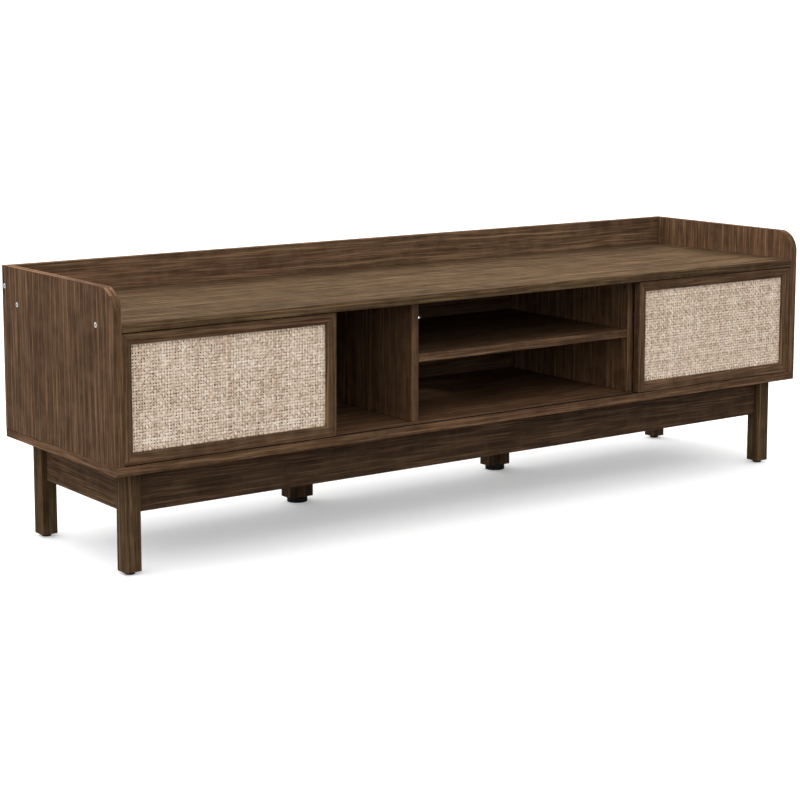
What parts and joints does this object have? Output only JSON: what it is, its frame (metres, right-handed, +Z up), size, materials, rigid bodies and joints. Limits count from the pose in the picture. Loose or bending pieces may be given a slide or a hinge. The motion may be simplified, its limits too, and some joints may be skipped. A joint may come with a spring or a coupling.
{
  "type": "tv stand with sliding doors",
  "caption": "Long low walnut-look television stand: gallery edge on top, three open-front bays, two cane-faced sliding doors, square legs with aprons and centre supports.",
  "frame": {"origin": "on the floor, under the middle of the cabinet", "axes": "+X along the cabinet towards its right end seen from the front, +Y to the back, +Z up; the doors face -Y"},
  "size_m": [1.52, 0.4, 0.469],
  "materials": {
    "walnut_upright": "satin walnut foil, grain upright",
    "walnut_board": "satin walnut foil, grain along the length",
    "walnut_base": "satin walnut foil",
    "walnut_back": "matt walnut print",
    "cane": "natural woven cane faced board, matt",
    "black_plastic": "matt",
    "fitting_steel": "satin nickel plate"
  },
  "bodies": {
    "carcass": {"side_panel_left": "walnut_upright", "side_panel_right": "walnut_upright", "divider_left": "walnut_upright", "divider_right": "walnut_upright", "top_panel": "walnut_board", "bottom_panel": "walnut_board", "gallery_rail": "walnut_board", "middle_shelf": "walnut_board", "back_panel": "walnut_back", "top_front_screw_left": "fitting_steel", "top_rear_screw_left": "fitting_steel", "gallery_screw_left": "fitting_steel", "top_front_screw_right": "fitting_steel", "top_rear_screw_right": "fitting_steel", "gallery_screw_right": "fitting_steel", "shelf_pin_left_front": "fitting_steel", "shelf_pin_left_rear": "fitting_steel", "shelf_pin_right_front": "fitting_steel", "shelf_pin_right_rear": "fitting_steel", "cam_left_front": "fitting_steel", "cam_left_rear": "fitting_steel", "cam_right_front": "fitting_steel", "cam_right_rear": "fitting_steel", "lower_track": "black_plastic", "upper_track": "black_plastic", "leg_front_left": "walnut_base", "glide_front_left": "black_plastic", "leg_front_right": "walnut_base", "glide_front_right": "black_plastic", "leg_rear_left": "walnut_base", "glide_rear_left": "black_plastic", "leg_rear_right": "walnut_base", "glide_rear_right": "black_plastic", "front_rail": "walnut_base", "rear_rail": "walnut_base", "side_rail_left": "walnut_base", "side_rail_right": "walnut_base", "centre_support_left": "walnut_base", "centre_glide_left": "black_plastic", "centre_support_right": "walnut_base", "centre_glide_right": "black_plastic"},
    "left_door": {"left_door_bottom_rail": "walnut_board", "left_door_top_rail": "walnut_board", "left_door_left_stile": "walnut_upright", "left_door_right_stile": "walnut_upright", "left_door_cane_panel": "cane", "left_door_runner_left": "black_plastic", "left_door_guide_left": "black_plastic", "left_door_runner_right": "black_plastic", "left_door_guide_right": "black_plastic"},
    "right_door": {"right_door_bottom_rail": "walnut_board", "right_door_top_rail": "walnut_board", "right_door_left_stile": "walnut_upright", "right_door_right_stile": "walnut_upright", "right_door_cane_panel": "cane", "right_door_runner_left": "black_plastic", "right_door_guide_left": "black_plastic", "right_door_runner_right": "black_plastic", "right_door_guide_right": "black_plastic"}
  },
  "joints": [
    {"name": "left_door_slide", "type": "slide", "parent": "carcass", "child": "left_door", "axis": [1, 0, 0], "range_m": [0, 0.342]},
    {"name": "right_door_slide", "type": "slide", "parent": "carcass", "child": "right_door", "axis": [1, 0, 0], "range_m": [-0.342, 0]}
  ]
}
